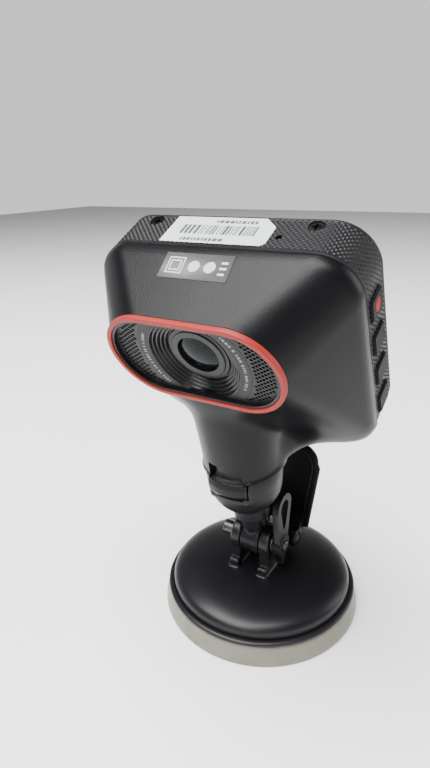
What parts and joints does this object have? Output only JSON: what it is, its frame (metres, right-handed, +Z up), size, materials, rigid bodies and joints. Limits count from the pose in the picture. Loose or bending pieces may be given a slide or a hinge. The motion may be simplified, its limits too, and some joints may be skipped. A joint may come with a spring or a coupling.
{
  "type": "dash camera",
  "caption": "Windscreen dash camera with a long rounded lens nose, rear screen and side buttons, clipped to a tilting and swivelling suction-cup mount.",
  "frame": {"origin": "centre of the suction disc's flat underside", "axes": "+Z up from the suction face, lens looks toward -Y, side buttons on +X"},
  "size_m": [0.0706, 0.0752, 0.125],
  "materials": {
    "front_plastic": "satin black moulding",
    "rear_plastic": "dark grey moulding with a fine diamond texture",
    "coral_plastic": "satin coral red",
    "grille_plastic": "matt black",
    "bezel_grey": "satin dark grey",
    "hood_plastic": "matt black ribs",
    "trim_grey": "smooth dark grey",
    "lens_glass": "coated glass",
    "barrel_black": "matt black",
    "circuit_board": "solder mask",
    "chip_black": "moulded chip",
    "bright_steel": "plated",
    "screen_black": "polished",
    "battery_foil": "foil pouch",
    "button_plastic": "satin",
    "label_white": "printed film",
    "sticker_grey": "translucent grey film",
    "mount_plastic": "satin black moulding",
    "gloss_black": "polished black",
    "black_screw": "blackened",
    "sucker_rubber": "cream soft polymer"
  },
  "bodies": {
    "suction_base": {"suction_dome": "mount_plastic", "suction_disc": "sucker_rubber", "hinge_bolt": "bright_steel", "hinge_washers": "bright_steel"},
    "pull_rod": {"plunger": "mount_plastic", "lever_pin": "bright_steel", "plunger_spring": "bright_steel"},
    "suction_lever": {"suction_lever": "mount_plastic"},
    "tilt_arm": {"head_arm": "mount_plastic", "swivel_screw": "bright_steel"},
    "tilt_lock": {"lock_lever": "mount_plastic"},
    "mount_head": {"mount_head": "mount_plastic", "latch_spring": "bright_steel"},
    "latch": {"latch": "gloss_black"},
    "camera": {"front_housing": "front_plastic", "rear_housing": "rear_plastic", "accent_ring": "coral_plastic", "nose_grilles": "grille_plastic", "bezel_crescents": "bezel_grey", "lens_hood": "hood_plastic", "lens_trim_ring": "trim_grey", "front_lens": "lens_glass", "lens_barrel": "barrel_black", "middle_lens": "lens_glass", "rear_lens": "lens_glass", "lens_holder": "barrel_black", "image_sensor": "chip_black", "sensor_board": "circuit_board", "main_board": "circuit_board", "processor_shield": "bright_steel", "display_panel": "screen_black", "display_window": "screen_black", "battery": "battery_foil", "speaker": "barrel_black", "microphone": "bright_steel", "button_board": "circuit_board", "button_switches": "bright_steel", "case_screws": "black_screw", "card_slot": "bright_steel", "usb_socket": "bright_steel", "serial_label": "label_white", "approval_sticker": "sticker_grey", "neck_socket": "mount_plastic"},
    "record_button": {"record_button": "button_plastic", "record_mark": "coral_plastic"},
    "up_button": {"up_button": "button_plastic"},
    "down_button": {"down_button": "button_plastic"},
    "power_button": {"power_button": "button_plastic"},
    "memory_card": {"memory_card": "chip_black"}
  },
  "joints": [
    {"name": "plunger_lift", "type": "slide", "parent": "suction_base", "child": "pull_rod", "axis": [0, 0, 1], "range_m": [0, 0.0026], "deforming": ["plunger_spring"]},
    {"name": "lever_fold", "type": "hinge", "parent": "pull_rod", "child": "suction_lever", "pos_m": [0, 0.009, 0.019], "axis": [-1, 0, 0], "range_deg": [0, 84]},
    {"name": "head_tilt", "type": "hinge", "parent": "suction_base", "child": "tilt_arm", "pos_m": [0, -0.004, 0.025], "axis": [1, 0, 0], "range_deg": [-18, 40]},
    {"name": "lock_turn", "type": "hinge", "parent": "suction_base", "child": "tilt_lock", "pos_m": [0.0091, -0.004, 0.025], "axis": [1, 0, 0], "range_deg": [0, 90]},
    {"name": "head_swivel", "type": "hinge", "parent": "tilt_arm", "child": "mount_head", "pos_m": [0, -0.004, 0.025], "axis": [0, -0.2122, 0.9772], "range_deg": [-60, 60]},
    {"name": "latch_press", "type": "slide", "parent": "mount_head", "child": "latch", "axis": [0, 0.9772, 0.2122], "range_m": [0, 0.0012], "stiffness_N_per_m": 600, "springref_m": -0.001},
    {"name": "camera_release", "type": "slide", "parent": "mount_head", "child": "camera", "axis": [0, -0.2122, 0.9772], "range_m": [0, 0.012]},
    {"name": "record_press", "type": "slide", "parent": "camera", "child": "record_button", "axis": [-1, 0, 0], "range_m": [0, 0.0005], "stiffness_N_per_m": 900, "springref_m": -0.0006},
    {"name": "up_press", "type": "slide", "parent": "camera", "child": "up_button", "axis": [-1, 0, 0], "range_m": [0, 0.0005], "stiffness_N_per_m": 900, "springref_m": -0.0006},
    {"name": "down_press", "type": "slide", "parent": "camera", "child": "down_button", "axis": [-1, 0, 0], "range_m": [0, 0.0005], "stiffness_N_per_m": 900, "springref_m": -0.0006},
    {"name": "power_press", "type": "slide", "parent": "camera", "child": "power_button", "axis": [-1, 0, 0], "range_m": [0, 0.0005], "stiffness_N_per_m": 900, "springref_m": -0.0006},
    {"name": "card_eject", "type": "slide", "parent": "camera", "child": "memory_card", "axis": [-1, 0, 0], "range_m": [0, 0.012]}
  ],
  "couplings": [
    {"joint": "plunger_lift", "follows": "lever_fold", "m_per_rad": 0.0017}
  ]
}
